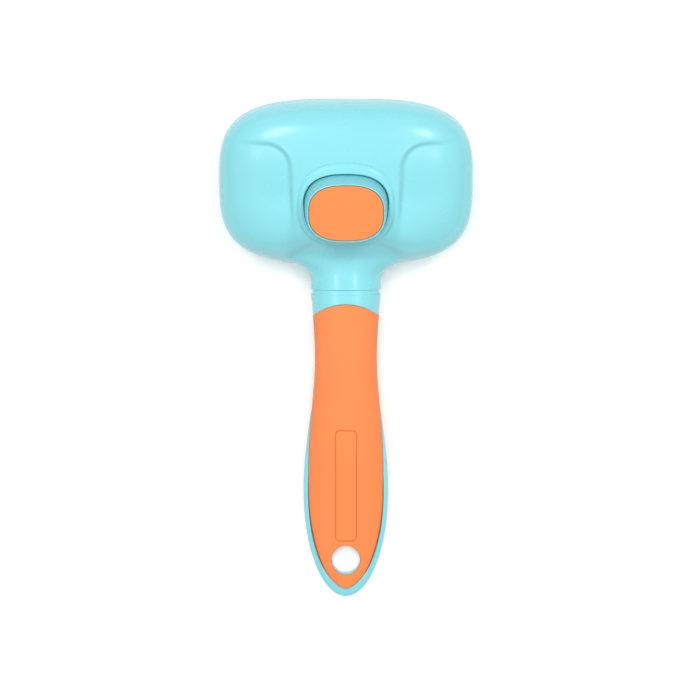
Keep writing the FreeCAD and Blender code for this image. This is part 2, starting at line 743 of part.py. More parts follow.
def handle_pieces():
    """Every piece that is drawn in the handle's frame, by name."""
    core, upper, lower = handle()
    return {
        "handle_core": core,
        "upper_grip": upper,
        "lower_grip": lower,
        "neck_screw": screw(0, NECK_SCREW_Y, NECK_SCREW_LOW, NECK_SCREW),
        "neck_screw_cap": rod(0, NECK_SCREW_Y, CAP_LOW, CAP_HIGH, CAP_R),
    }


def main():
    os.makedirs("parts", exist_ok=True)
    angle = rest_angle()
    pieces = {name: in_rest(to_handle(shape), angle) for name, shape in head_pieces().items()}
    pieces.update({name: in_rest(shape, angle) for name, shape in handle_pieces().items()})
    whole = FreeCAD.BoundBox()
    for shape in pieces.values():
        whole.add(shape.optimalBoundingBox())
    down = V(0, -(whole.YMin + whole.YMax) / 2, -whole.ZMin)
    for name, shape in pieces.items():
        shape.Placement = FreeCAD.Placement(down, FreeCAD.Rotation()).multiply(shape.Placement)
        shape.exportStep("parts/" + name + ".step")
        print(name, "valid", shape.isValid(), "solids", len(shape.Solids), "volume", round(shape.Volume, 1))
    print("size", round(whole.XLength, 2), round(whole.YLength, 2), round(whole.ZLength, 2))
    print("rest angle", angle, "shift", down)


main()
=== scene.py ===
"""Looks of a self-cleaning slicker brush, built round its CAD frame.

The brush lies pins down on a pale table. Lengths inside the functions are in millimetres; a piece is turned
into metres of the shared frame when its mesh is made. Two local frames are used, as in the CAD: the head's,
with x across, y away from the handle and z out of the back, 0 at the middle of the parting plane; and the
handle's, with y from the end of the handle and z up from its middle plane.
"""

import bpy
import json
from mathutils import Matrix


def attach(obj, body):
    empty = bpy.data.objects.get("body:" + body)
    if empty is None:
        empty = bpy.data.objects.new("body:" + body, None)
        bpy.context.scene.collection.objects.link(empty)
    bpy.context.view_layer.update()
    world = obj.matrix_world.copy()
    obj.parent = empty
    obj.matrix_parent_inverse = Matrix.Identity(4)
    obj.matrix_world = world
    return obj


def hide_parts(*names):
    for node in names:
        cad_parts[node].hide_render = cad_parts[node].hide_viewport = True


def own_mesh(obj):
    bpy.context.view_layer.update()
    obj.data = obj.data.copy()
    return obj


bl_info = {
    "name": "Slicker brush",
    "version": (1, 0, 0),
    "blender": (4, 5, 0),
    "location": "View3D > Sidebar > Brush",
    "description": "Builds a slicker brush's shell, grips, button, pins and springs, and its studio",
    "category": "Add Mesh",
}

import json
import math

import bpy
import numpy as np
from mathutils import Vector

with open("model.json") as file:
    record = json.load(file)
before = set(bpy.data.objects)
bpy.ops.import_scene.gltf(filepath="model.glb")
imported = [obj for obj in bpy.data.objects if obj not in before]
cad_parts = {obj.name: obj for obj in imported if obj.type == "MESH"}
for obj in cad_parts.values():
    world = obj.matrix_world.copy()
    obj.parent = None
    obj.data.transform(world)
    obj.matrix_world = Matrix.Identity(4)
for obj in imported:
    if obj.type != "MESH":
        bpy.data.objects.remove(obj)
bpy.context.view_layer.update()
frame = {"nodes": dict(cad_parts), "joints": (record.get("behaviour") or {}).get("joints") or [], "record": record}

MM = 0.001

# ---------------------------------------------------------------- the two local frames

HOLE_Y = 15.4
HEAD_Y = 169.3
HEAD_Z = 4.75

HEAD_UP = -np.array(frame["joints"][0]["axis"])
HEAD_UP = HEAD_UP / np.linalg.norm(HEAD_UP)
HEAD_ALONG = np.array((0.0, HEAD_UP[2], -HEAD_UP[1]))
HANDLE_UP = np.array(frame["record"]["mounts"][0]["axis"])
HANDLE_UP = HANDLE_UP / np.linalg.norm(HANDLE_UP)
HANDLE_ALONG = np.array((0.0, HANDLE_UP[2], -HANDLE_UP[1]))
HANDLE_ORIGIN = np.array(frame["record"]["mounts"][0]["pos_m"]) / MM - HOLE_Y * HANDLE_ALONG
HEAD_ORIGIN = HANDLE_ORIGIN + HEAD_Y * HANDLE_ALONG + HEAD_Z * HANDLE_UP
HEAD_TURN = math.acos(float(HEAD_UP @ HANDLE_UP))

# ---------------------------------------------------------------- sizes shared with the CAD, in millimetres

HEAD_HALF_WIDTH = 51.0
HEAD_FAR = 33.4
HEAD_NEAR = 34.0
FAR_POWER = 3.3
NEAR_POWER = 3.1
MEAN_POWER = 3.2
NECK_HALF_WIDTH = 14.25
NECK_HALF_THICKNESS = 10.0
NECK_START = 126.0
PARTING_BREAK = -30.0
BUTTON_MIDDLE = -6.0
BUTTON_HALF = np.array((16.5, 12.9))
BUTTON_TOP_HALF = np.array((15.3, 11.7))
BUTTON_TOP = 28.0
BUTTON_POWER = 2.6
BUTTON_GAP = 0.5
FLANGE_HALF = np.array((19.0, 15.4))
FLANGE_LOW = 12.6
FLANGE_HIGH = 14.2
PLATE_MIDDLE = -0.3
TIP_LENGTH = 43.1
BELLY_HALF_WIDTH = 17.25
BELLY_END = 45.0
WAIST = 98.0
WAIST_HALF_WIDTH = 12.65
COLLAR_END = 124.3
COLLAR_HALF_WIDTH = 14.25
GRIP_HALF_THICKNESS = 10.0
TIP_HALF_THICKNESS = 4.3
SECTION_POWER = 2.25
RIM_INSET = 1.75
RIM_HALF_THICKNESS = 2.5
RIM_END = 97.0
NOSE_INSET = 3.55
NOSE_LENGTH = 9.0
GRIP_HOLE_R = 6.15
HOLE_R = 5.75
ARCH_TOP = 120.4
ARCH_R = 22.9
LABEL_HALF = np.array((4.3, 23.0))
LABEL_MIDDLE = 46.4
PIN_HIGH = -1.0
PIN_KNEE = -17.8
PIN_FIELD = (37.6, 20.6)
PIN_PITCH = (3.8, 3.4)
LEGS = ((-32.0, -6.0), (32.0, -6.0), (-14.0, 14.0), (14.0, 14.0))
LEG_CLEAR = 4.4
CARRIER_SCREWS = ((-34.0, 10.5), (34.0, 10.5), (-25.0, -17.0), (25.0, -17.0))
SCREW_CLEAR = 3.2
PIN_R = 0.24
PIN_BEND = math.radians(18.0)
PIN_END = 5.4
BEAD_R = 0.55
BEAD_ALONG = 5.3
SPRING_LOW = 0.8
SPRING_HIGH = 25.0
SPRING_SIDE = 8.0
SPRING_R = 3.6
SPRING_WIRE_R = 0.42
SPRING_FLAT = 0.085
SPRING_CREEP = 0.02

# ---------------------------------------------------------------- sizes of the visible shell and grids only

NECK_POWER = 2.1
BACK_POWER = 0.4
SPINE_FLARE = 9.5
WING_INNER = 20.4
WING_FAR = 20.0
WING_CORNER = 10.0
RING_HALF = (19.1, 16.9)
RING_POWER = 2.4
NEAR_GAP_CLOSED = 0.3
THROAT = (14.4, 16.2)
SHELL_RAYS = 336
JOINT_RAYS = 41
SHELL_RINGS = 92
BUTTON_COLUMNS = 160
GRIP_BAND = 22
GRIP_EDGE = 36
HOLE_BLOCK = (16, 32)
EYELET_COLUMNS = 96
COLLAR_COLUMNS = 180
SUPPORT_EVERY = 3


# ---------------------------------------------------------------- small mathematics

def smooth(t):
    """A smooth step: 0 below 0, 1 above 1, and 3t^2 - 2t^3 between."""
    t = np.clip(t, 0.0, 1.0)
    return t * t * (3 - 2 * t)


def smooth_max(a, b, width):
    """The larger of two fields, with the crease between them filled by a parabola of that width."""
    near = np.maximum(width - np.abs(a - b), 0) / width
    return np.maximum(a, b) + near * near * width / 4


def oval(angle, power):
    """A point of the unit superellipse |x|^power + |y|^power = 1 at each angle."""
    c = np.cos(angle)
    s = np.sin(angle)
    return np.sign(c) * np.abs(c) ** (2 / power), np.sign(s) * np.abs(s) ** (2 / power)


def full_turn(count):
    """Evenly spaced angles once round."""
    return np.linspace(0, 2 * math.pi, count, endpoint=False)


# ---------------------------------------------------------------- meshes

def in_head(points):
    """Points of the head's frame, in metres of the shared frame: origin + x across + y along + z up."""
    across = np.array((1.0, 0.0, 0.0))
    return (HEAD_ORIGIN + points @ np.stack((across, HEAD_ALONG, HEAD_UP))) * MM


def in_handle(points):
    """Points of the handle's frame, in metres of the shared frame."""
    across = np.array((1.0, 0.0, 0.0))
    return (HANDLE_ORIGIN + points @ np.stack((across, HANDLE_ALONG, HANDLE_UP))) * MM


def grid_quads(rows, columns, wrap):
    """Corner numbers of every cell of a grid; wrap joins the last column to the first."""
    across = columns if wrap else columns - 1
    row, column = np.meshgrid(np.arange(rows - 1), np.arange(across), indexing="ij")
    after = (column + 1) % columns
    low = row * columns
    high = low + columns
    corners = (low + column, low + after, high + after, high + column)
    return np.stack(corners, axis=-1).reshape(-1, 4)


def fan(first, columns, centre):
    """Triangles from a ring of columns points, which starts at number first, to a centre point."""
    ring = first + np.arange(columns)
    after = first + (np.arange(columns) + 1) % columns
    return np.stack((ring, after, np.full(columns, centre)), axis=-1)


def outwards(points, faces, middle):
    """The faces, all turned over if they point at middle on the whole: the sum of (corner - middle) . (area
    normal) is positive when they point away from it."""
    total = 0.0
    for group in faces:
        a = points[group[:, 0]] - middle
        b = points[group[:, 1]] - middle
        c = points[group[:, 2]] - middle
        total += np.einsum("ij,ij->", a, np.cross(b - a, c - a))
    return faces if total > 0 else [group[:, ::-1] for group in faces]


def add_piece(name, points, faces, body, slot, sharp=40.0):
    """Makes an object of arrays of points and faces, smooth but for edges sharper than an angle in degrees,
    gives it its slot's finish and lets it ride on a body."""
    mesh = bpy.data.meshes.new(name)
    corners = [face for group in faces for face in group.tolist()]
    mesh.from_pydata(points.tolist(), [], corners)
    mesh.validate()
    mesh.shade_smooth()
    mesh.set_sharp_from_angle(angle=math.radians(sharp))
    piece = bpy.data.objects.new(name, mesh)
    bpy.context.scene.collection.objects.link(piece)
    mesh.materials.append(bpy.data.materials[FINISHES[slot]])
    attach(piece, body)
    return piece


def add_closed(name, placed, faces, body, slot, sharp):
    """The same for a closed shape, with its faces turned away from its middle."""
    return add_piece(name, placed, outwards(placed, faces, placed.mean(axis=0)), body, slot, sharp)


def lathe(rows, columns, power, middle):
    """A closed ring of ovals: each row gives half width, half height and z, and is carried once round a
    superellipse about (0, middle)."""
    x, y = oval(full_turn(columns), power)
    rows = np.array(rows)
    points = np.stack((rows[:, :1] * x, middle + rows[:, 1:2] * y, rows[:, 2:] + 0 * x), axis=-1)
    return points.reshape(-1, 3)


def capped(points, rows, columns):
    """The quads of a stack of rings, with a fan over its first and its last ring."""
    first = points[:columns].mean(axis=0)
    last = points[-columns:].mean(axis=0)
    count = rows * columns
    whole = np.vstack((points, first, last))
    faces = [grid_quads(rows, columns, True), fan(0, columns, count)[:, ::-1],
             fan(count - columns, columns, count + 1)]
    return whole, faces


def wall(piece, thickness):
    """Gives an open surface a wall on its inner side."""
    solid = piece.modifiers.new("wall", "SOLIDIFY")
    solid.thickness = thickness * MM
    solid.offset = -1


# ---------------------------------------------------------------- settings

class BrushHeadSettings(bpy.types.PropertyGroup):
    """Sizes of the head's moulded back."""
    dome: bpy.props.FloatProperty(name="Dome", description="Height of the back above the parting plane",
                                  default=0.018, unit="LENGTH", subtype="DISTANCE")
    wing_depth: bpy.props.FloatProperty(name="Wing depth", description="How deep the two scooped wings are",
                                        default=0.0017, unit="LENGTH", subtype="DISTANCE")
    ring_top: bpy.props.FloatProperty(name="Ring top", description="Height of the ring round the button",
                                      default=0.0183, unit="LENGTH", subtype="DISTANCE")
    wall: bpy.props.FloatProperty(name="Wall", description="Thickness of the moulded wall",
                                  default=0.0018, unit="LENGTH", subtype="DISTANCE")


class BrushGripSettings(bpy.types.PropertyGroup):
    """Sizes of the soft grips."""
    label_depth: bpy.props.FloatProperty(name="Label depth", description="Depth of the plain label panel",
                                         default=0.0004, unit="LENGTH", subtype="DISTANCE")
    skin: bpy.props.FloatProperty(name="Skin", description="Thickness of the soft skin",
                                  default=0.0014, unit="LENGTH", subtype="DISTANCE")


class BrushFinishSettings(bpy.types.PropertyGroup):
    """Colours and finishes."""
    shell: bpy.props.FloatVectorProperty(name="Shell", description="Colour of the moulded plastic", size=3,
                                         default=(0.245, 0.655, 0.715), subtype="COLOR", min=0, max=1)
    grip: bpy.props.FloatVectorProperty(name="Grip", description="Colour of the soft grips and the pad",
                                        size=3, default=(0.890, 0.250, 0.078), subtype="COLOR", min=0,
                                        max=1)
    shell_roughness: bpy.props.FloatProperty(name="Shell roughness",
                                             description="Roughness of the moulded plastic",
                                             default=0.26, min=0, max=1, subtype="FACTOR")
    grip_roughness: bpy.props.FloatProperty(name="Grip roughness", description="Roughness of the soft grips",
                                            default=0.62, min=0, max=1, subtype="FACTOR")


class BrushStudioSettings(bpy.types.PropertyGroup):
    """Camera and light."""
    distance: bpy.props.FloatProperty(name="Distance", description="Distance of the camera from the brush",
                                      default=0.85, unit="LENGTH", subtype="DISTANCE")
    lean: bpy.props.FloatProperty(name="Lean", description="How far the camera leans from straight above",
                                  default=math.radians(2.8), unit="ROTATION", subtype="ANGLE")
    lens: bpy.props.FloatProperty(name="Lens", description="Focal length of the camera", default=111.9,
                                  unit="CAMERA", subtype="DISTANCE_CAMERA")
    key: bpy.props.FloatProperty(name="Key light", description="Power of the key light", default=4.0,
                                 unit="POWER", subtype="POWER")
    fill: bpy.props.FloatProperty(name="Sky light", description="Strength of the even light all round",
                                  default=0.2, min=0)


# ---------------------------------------------------------------- finishes

FINISHES = {
    "body_plastic": "satin_shell_plastic",
    "grip_rubber": "soft_grip_rubber",
    "inner_plastic": "pale_inner_plastic",
    "pin_steel": "drawn_pin_wire",
    "bead_resin": "milky_bead_resin",
    "screw_steel": "zinc_screw_steel",
    "spring_steel": "oiled_spring_wire",
}


def new_finish(name, colour, roughness, metallic=0.0):
    """A finish with only its shader."""
    finish = bpy.data.materials.new(name)
    finish.use_nodes = True
    shader = finish.node_tree.nodes["Principled BSDF"]
    shader.inputs["Base Color"].default_value = (*colour, 1)
    shader.inputs["Roughness"].default_value = roughness
    shader.inputs["Metallic"].default_value = metallic
    return finish, shader


def noise(finish, scale, detail=2.0, roughness=0.5):
    """Noise on the object's own coordinates."""
    nodes = finish.node_tree.nodes
    place = nodes.new("ShaderNodeTexCoord")
    texture = nodes.new("ShaderNodeTexNoise")
    texture.inputs["Scale"].default_value = scale
    texture.inputs["Detail"].default_value = detail
    texture.inputs["Roughness"].default_value = roughness
    finish.node_tree.links.new(place.outputs["Object"], texture.inputs["Vector"])
    return texture


def vary_colour(finish, shader, texture, low, high):
    """The base colour drifts between two near shades."""
    ramp = finish.node_tree.nodes.new("ShaderNodeValToRGB")
    ramp.color_ramp.elements[0].position = 0.2
    ramp.color_ramp.elements[0].color = (*low, 1)
    ramp.color_ramp.elements[1].position = 0.8
    ramp.color_ramp.elements[1].color = (*high, 1)
    finish.node_tree.links.new(texture.outputs["Fac"], ramp.inputs["Fac"])
    finish.node_tree.links.new(ramp.outputs["Color"], shader.inputs["Base Color"])


def vary_roughness(finish, shader, texture, low, high):
    """The roughness drifts between two values."""
    span = finish.node_tree.nodes.new("ShaderNodeMapRange")
    span.inputs["From Min"].default_value = 0.3
    span.inputs["From Max"].default_value = 0.7
    span.inputs["To Min"].default_value = low
    span.inputs["To Max"].default_value = high
    finish.node_tree.links.new(texture.outputs["Fac"], span.inputs["Value"])
    finish.node_tree.links.new(span.outputs["Result"], shader.inputs["Roughness"])


def grain(finish, shader, texture, strength, depth):
    """A bump of the texture, depth in metres."""
    bump = finish.node_tree.nodes.new("ShaderNodeBump")
    bump.inputs["Strength"].default_value = strength
    bump.inputs["Distance"].default_value = depth
    finish.node_tree.links.new(texture.outputs["Fac"], bump.inputs["Height"])
    finish.node_tree.links.new(bump.outputs["Normal"], shader.inputs["Normal"])


def socket(sockets, identifier):
    """The socket of an identifier, as several sockets of a mix share a name."""
    return next(each for each in sockets if each.identifier == identifier)


def paint_groove_shade(finish, shader):
    """Painted shade: multiplies the base colour by a brown where the piece's point attribute of painted shade is
    1, so the grooves and gaps look shaded.
    """
    nodes = finish.node_tree.nodes
    links = finish.node_tree.links
    painted_groove_shade = nodes.new("ShaderNodeAttribute")
    painted_groove_shade.attribute_name = "painted_groove_shade"
    mix = nodes.new("ShaderNodeMix")
    mix.data_type = "RGBA"
    mix.blend_type = "MULTIPLY"
    # painted shade: the brown that the grooves and gaps are darkened to
    socket(mix.inputs, "B_Color").default_value = (0.42, 0.36, 0.34, 1)
    base = shader.inputs["Base Color"].links[0].from_socket
    links.new(painted_groove_shade.outputs["Fac"], mix.inputs["Factor"])
    links.new(base, socket(mix.inputs, "A_Color"))
    links.new(socket(mix.outputs, "Result_Color"), shader.inputs["Base Color"])


def shades(colour, amount):
    """A colour made darker and lighter by a share."""
    return [c * (1 - amount) for c in colour], [min(c * (1 + amount), 1.0) for c in colour]


def shell_finish(settings):
    """Satin ABS: faint drift of colour and gloss, and the fine texture of a spark-eroded mould."""
    colour = tuple(settings.shell)
    finish, shader = new_finish(FINISHES["body_plastic"], colour, settings.shell_roughness)
    drift = noise(finish, 22.0)
    vary_colour(finish, shader, drift, *shades(colour, 0.02))
    vary_roughness(finish, shader, noise(finish, 90.0), settings.shell_roughness - 0.02,
                   settings.shell_roughness + 0.03)
    grain(finish, shader, noise(finish, 2600.0, 3.0), 0.08, 0.00002)
    shader.inputs["IOR"].default_value = 1.5


def grip_finish(settings):
    """Soft TPR: matt, with a fine leathery grain, and painted shade that darkens its grooves and the gaps at its
    edges, where a point attribute marks it.
    """
    colour = tuple(settings.grip)
    finish, shader = new_finish(FINISHES["grip_rubber"], colour, settings.grip_roughness)
    vary_colour(finish, shader, noise(finish, 35.0), *shades(colour, 0.025))
    paint_groove_shade(finish, shader)
    vary_roughness(finish, shader, noise(finish, 160.0), settings.grip_roughness - 0.05,
                   settings.grip_roughness + 0.05)
    grain(finish, shader, noise(finish, 3800.0, 4.0, 0.6), 0.25, 0.00004)
    shader.inputs["Specular IOR Level"].default_value = 0.35


def inner_finish():
    """Pale satin plastic of the plates and the yoke."""
    colour = (0.80, 0.86, 0.87)
    finish, shader = new_finish(FINISHES["inner_plastic"], colour, 0.42)
    vary_colour(finish, shader, noise(finish, 40.0), *shades(colour, 0.02))
    grain(finish, shader, noise(finish, 2200.0, 3.0), 0.12, 0.00003)


def wire_finish():
    """Bright drawn wire, its gloss drifting a little."""
    finish, shader = new_finish(FINISHES["pin_steel"], (0.74, 0.75, 0.77), 0.24, 1.0)
    vary_roughness(finish, shader, noise(finish, 700.0, 3.0), 0.18, 0.34)


def bead_finish():
    """Glossy beads of clear-milky resin."""
    colour = (0.93, 0.91, 0.86)
    finish, shader = new_finish(FINISHES["bead_resin"], colour, 0.16)
    vary_colour(finish, shader, noise(finish, 120.0), *shades(colour, 0.03))
    shader.inputs["Subsurface Weight"].default_value = 0.25
    shader.inputs["Subsurface Radius"].default_value = (0.001, 0.0008, 0.0006)
    shader.inputs["Coat Weight"].default_value = 0.3


def screw_finish():
    """Zinc-plated screws, a little uneven."""
    finish, shader = new_finish(FINISHES["screw_steel"], (0.62, 0.63, 0.65), 0.36, 1.0)
    vary_roughness(finish, shader, noise(finish, 900.0, 3.0), 0.28, 0.48)
    grain(finish, shader, noise(finish, 1800.0, 2.0), 0.15, 0.00002)


def spring_finish():
    """Oiled spring wire."""
    finish, shader = new_finish(FINISHES["spring_steel"], (0.50, 0.51, 0.53), 0.3, 1.0)
    vary_roughness(finish, shader, noise(finish, 600.0, 3.0), 0.22, 0.38)


class BRUSH_OT_finishes(bpy.types.Operator):
    """Make the finishes and give them to the CAD nodes that stay in sight"""
    bl_idname = "brush.finishes"
    bl_label = "Finishes"

    def execute(self, context):
        settings = context.scene.brush_finish
        shell_finish(settings)
        grip_finish(settings)
        inner_finish()
        wire_finish()
        bead_finish()
        screw_finish()
        spring_finish()
        for part in frame["record"]["subparts"]:
            mesh = frame["nodes"][part["node"]].data
            mesh.materials.clear()
            mesh.materials.append(bpy.data.materials[FINISHES[part["material_slot"]]])
        return {"FINISHED"}


# ---------------------------------------------------------------- the head's back

def parting_end():
    """Where the parting line ends at the collar, in the head's frame: y and z of the joint's middle."""
    along = NECK_START - HEAD_Y
    c = math.cos(HEAD_TURN)
    s = math.sin(HEAD_TURN)
    return along * c - HEAD_Z * s, -along * s - HEAD_Z * c


END_Y, END_Z = parting_end()
NECK_RUN = math.hypot(END_Y - PARTING_BREAK, END_Z)
NECK_S = PARTING_BREAK - NECK_RUN


def head_inside(x, s):
    """1 in the middle of the head and 0 on its outline: 1 - R^3.2, R being the radius as a share of the
    superellipse of the outline."""
    power = np.where(s > 0, FAR_POWER, NEAR_POWER)
    length = np.where(s > 0, HEAD_FAR, HEAD_NEAR)
    reach = (np.abs(x / HEAD_HALF_WIDTH) ** power + np.abs(s / length) ** power) ** (1 / power)
    return 1 - reach ** MEAN_POWER


def neck_inside(x, s):
    """The same for the neck and the spine that runs on from it: 1 - |x / half width|^2.1, falling off in the
    head. The half width flares as a power of the distance from the joint, and levels off at the spine's."""
    along = s - NECK_S
    flare = 0.0915 * np.maximum(along - 4, 0) ** 2.2
    half = NECK_HALF_WIDTH + SPINE_FLARE * np.tanh(flare / SPINE_FLARE)
    return 1 - np.abs(x / half) ** NECK_POWER - 1.2 * smooth((s - PARTING_BREAK) / 40)


def shell_inside(x, s):
    """Positive inside the outline of head and neck together, with a fillet between them."""
    return smooth_max(head_inside(x, s), neck_inside(x, s), 0.22)


def oval_distance(x, s, half, power):
    """Distance outwards from an oval round the button, along the line from its middle: r (1 - 1/R)."""
    y = s - BUTTON_MIDDLE
    reach = (np.abs(x / half[0]) ** power + np.abs(y / half[1]) ** power) ** (1 / power)
    return np.hypot(x, y) * (1 - 1 / np.maximum(reach, 1e-6))


def wing_scoop(x, s):
    """Share of the wings' depth: a crisp step over a rounded corner on the inner and far sides, fading out
    towards the head's edge and towards the handle."""
    side = np.abs(x)
    inner = side - WING_INNER - 0.035 * (s + 4)
    far = WING_FAR + 0.02 * (side - 30) - s
    depth_in = WING_CORNER - np.hypot(np.maximum(WING_CORNER - inner, 0), np.maximum(WING_CORNER - far, 0))
    step = smooth(depth_in / 2.2)
    return step * (1 - smooth((side - 26) / 22)) * smooth((s + 20) / 20)


def back_height(x, s, settings):
    """Height of the back over the parting surface: peak * inside^power, less the scooped wings, raised to a
    level ring round the button with a fine groove outside it. The peak is the dome's, and down the middle it
    drops under the button to the neck's gentle slope."""
    inside = np.maximum(shell_inside(x, s), 0)
    blend = smooth((s - NECK_S) / (-16 - NECK_S))
    dome = settings.dome / MM
    spine = NECK_HALF_THICKNESS + 0.13 * (s - NECK_S)
    spine = spine + (dome - spine) * smooth((s + 30.5) / 14)
    middle = np.maximum(1 - smooth((np.abs(x) - 10) / 20), smooth((-24 - s) / 14))
    peak = dome + (spine - dome) * middle
    power = 1 / NECK_POWER + (BACK_POWER - 1 / NECK_POWER) * blend
    height = peak * inside ** power
    height = height - settings.wing_depth / MM * wing_scoop(x, s)
    outer = oval_distance(x, s, RING_HALF, RING_POWER)
    fade = smooth((s + 25) / 9)
    ring = (1 - smooth((outer + 0.9) / 1.2)) * fade
    height = height + (settings.ring_top / MM - height) * ring
    height = height - 0.3 * np.exp(-((outer - 0.45) / 0.35) ** 2) * fade
    lip = oval_distance(x, s, BUTTON_HALF + BUTTON_GAP, BUTTON_POWER)
    return height - 0.4 * (1 - smooth(lip / 0.5)) ** 2


def bent(x, s, height):
    """Points of the head's frame from places over the parting surface, which is flat through the head and
    slopes up to the joint; a parabola rounds the bend between the two, the more the higher the point is. The
    direction of height turns from the head's up to the handle's."""
    past = PARTING_BREAK - s
    tilt = np.clip(past / NECK_RUN, 0, 1)
    y = np.maximum(s, PARTING_BREAK) + (END_Y - PARTING_BREAK) * tilt
    eased = np.where(np.abs(past) < 8, (past + 8) ** 2 / 32, np.maximum(past, 0)) - np.maximum(past, 0)
    z = END_Z * (tilt + eased / NECK_RUN * smooth(height / 9))
    turn = HEAD_TURN * smooth((-20 - s) / (-20 - NECK_S))
    return np.stack((x, y + height * np.sin(turn), z + height * np.cos(turn)), axis=-1)


def shell_rays(around, across):
    """Angles of the rays from the button's middle, and each ray's length: to the joint where it meets the
    neck's end, and elsewhere to the outline, which bisection finds."""
    reach = BUTTON_MIDDLE - NECK_S
    corner = math.atan2(NECK_HALF_WIDTH, reach)
    ends = np.arctan2(NECK_HALF_WIDTH * np.sin(np.linspace(-math.pi / 2, math.pi / 2, across)), reach)
    sides = np.linspace(corner, 2 * math.pi - corner, around + 2)[1:-1]
    angle = np.concatenate((ends, sides))
    at_joint = np.concatenate((np.ones(across, bool), np.zeros(around, bool)))
    low = np.full(angle.shape, 20.0)
    high = np.full(angle.shape, 62.0)
    for step in range(40):
        middle = (low + high) / 2
        inside = shell_inside(middle * np.sin(angle), BUTTON_MIDDLE - middle * np.cos(angle)) > 0
        low = np.where(inside, middle, low)
        high = np.where(inside, high, middle)
    return angle, np.where(at_joint, reach / np.cos(angle), low)


def rear_shell_points(settings):
    """The back of the head as rings from the wall of the button's opening out to the parting line. Along a
    ray the rings are spaced as 1 - (1 - t)^2.4, so that they are closest where the side is steep."""
    angle, outer = shell_rays(SHELL_RAYS, JOINT_RAYS)
    c = np.cos(angle)
    s = np.sin(angle)
    half = BUTTON_HALF[:, None] + BUTTON_GAP - NEAR_GAP_CLOSED * smooth((c + 0.25) / 0.5)
    reach = np.abs(s / half[0]) ** BUTTON_POWER + np.abs(c / half[1]) ** BUTTON_POWER
    inner = 1 / reach ** (1 / BUTTON_POWER)
    near = np.linspace(0, 0.16, 26)[:-1]
    spaced = 1 - (1 - np.linspace(0, 1, SHELL_RINGS)) ** 2.4
    t = np.concatenate((near, 0.16 + 0.84 * spaced))[:, None]
    radius = inner + (outer - inner) * t
    x = radius * s
    y = BUTTON_MIDDLE - radius * c
    height = back_height(x, y, settings)
    at_end = smooth((y - NECK_S) / 0.5)
    shrink = 1 - 0.025 * (1 - at_end) ** 2 - (0.25 / radius) * np.exp(-height / 0.3)
    points = bent(x * shrink, y, height * (1 - 0.025 * (1 - at_end) ** 2))
    throat = np.stack([points[0] * (1, 1, 0) + (0, 0, z) for z in THROAT])
    return np.concatenate((throat, points))


class BRUSH_OT_rear_shell(bpy.types.Operator):
    """Make the moulded back of the head and neck"""
    bl_idname = "brush.rear_shell"
    bl_label = "Rear shell"

    def execute(self, context):
        settings = context.scene.brush_head
        points = rear_shell_points(settings)
        rows, columns = points.shape[:2]
        placed = in_head(points.reshape(-1, 3))
        faces = outwards(placed, [grid_quads(rows, columns, True)], in_head(np.array((0.0, 0.0, -20.0))))
        piece = add_piece("rear_shell", placed, faces, "brush", "body_plastic", 50)
        wall(piece, settings.wall / MM)
        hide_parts("rear_housing")
        return {"FINISHED"}


# ---------------------------------------------------------------- button

def arc_rows(half, z, radius, start, end, count=7):
    """Rows of a rounded edge: the outline's halves less radius * (1 - cos a), and z plus radius * sin a."""
    rows = []
    for a in np.radians(np.linspace(start, end, count)):
        cut = radius * (1 - math.cos(a))
        rows.append((half[0] - cut, half[1] - cut, z + radius * math.sin(a)))
    return rows


def button_rows():
    """The push button from the middle of the pad's seat, over its rounded rim, down its drafted side to the
    flange, and back up inside."""
    top = BUTTON_TOP_HALF
    seat = BUTTON_TOP - 1.4
    rows = [(1.0, 0.8, seat), (top[0] - 0.8, top[1] - 0.8, seat), (top[0] - 0.55, top[1] - 0.55, seat + 0.05)]
    rows += [(top[0] - 0.5, top[1] - 0.5, BUTTON_TOP - 0.15), (top[0] - 0.42, top[1] - 0.42, BUTTON_TOP)]
    rows += arc_rows(top, BUTTON_TOP - 0.3, 0.3, 90, 0)
    for t in np.linspace(0.04, 1, 12):
        half = top + (BUTTON_HALF - top) * t + 0.12 * math.sin(math.pi * t)
        rows.append((half[0], half[1], BUTTON_TOP - 0.3 - 9.7 * t))
    rows += [(*BUTTON_HALF, 14.3), (*(BUTTON_HALF + 0.1), FLANGE_HIGH), (*FLANGE_HALF, FLANGE_HIGH),
             (*FLANGE_HALF, FLANGE_LOW), (*(BUTTON_HALF - 1.6), FLANGE_LOW), (*(top - 1.6), SPRING_HIGH),
             (1.0, 0.8, SPRING_HIGH)]
    return rows


def pad_rows():
    """The soft pad: a straight side, a small rounded edge and a nearly flat face."""
    half = BUTTON_TOP_HALF - 0.75
    low = BUTTON_TOP - 1.38
    rows = [(1.0, 0.8, low), (half[0] - 0.1, half[1] - 0.1, low), (*half, low + 0.1)]
    rows += arc_rows(half, BUTTON_TOP - 0.2, 0.28, 0, 84)
    edge = rows[-1]
    for t in (0.97, 0.85, 0.6, 0.3, 0.06):
        rows.append((edge[0] * t, edge[1] * t, edge[2] + 0.22 * (1 - t * t)))
    return rows


class BRUSH_OT_button(bpy.types.Operator):
    """Make the push button and its soft pad"""
    bl_idname = "brush.button"
    bl_label = "Button"

    def execute(self, context):
        for name, rows, slot, node in (("button_cap", button_rows(), "body_plastic", "button_shell"),
                                       ("thumb_pad", pad_rows(), "grip_rubber", "button_pad")):
            points = lathe(rows, BUTTON_COLUMNS, BUTTON_POWER, BUTTON_MIDDLE)
            points, faces = capped(points, len(rows), BUTTON_COLUMNS)
            piece = add_closed(name, in_head(points), faces, "ejector", slot, 35)
            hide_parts(node)
        return {"FINISHED"}


# ---------------------------------------------------------------- handle

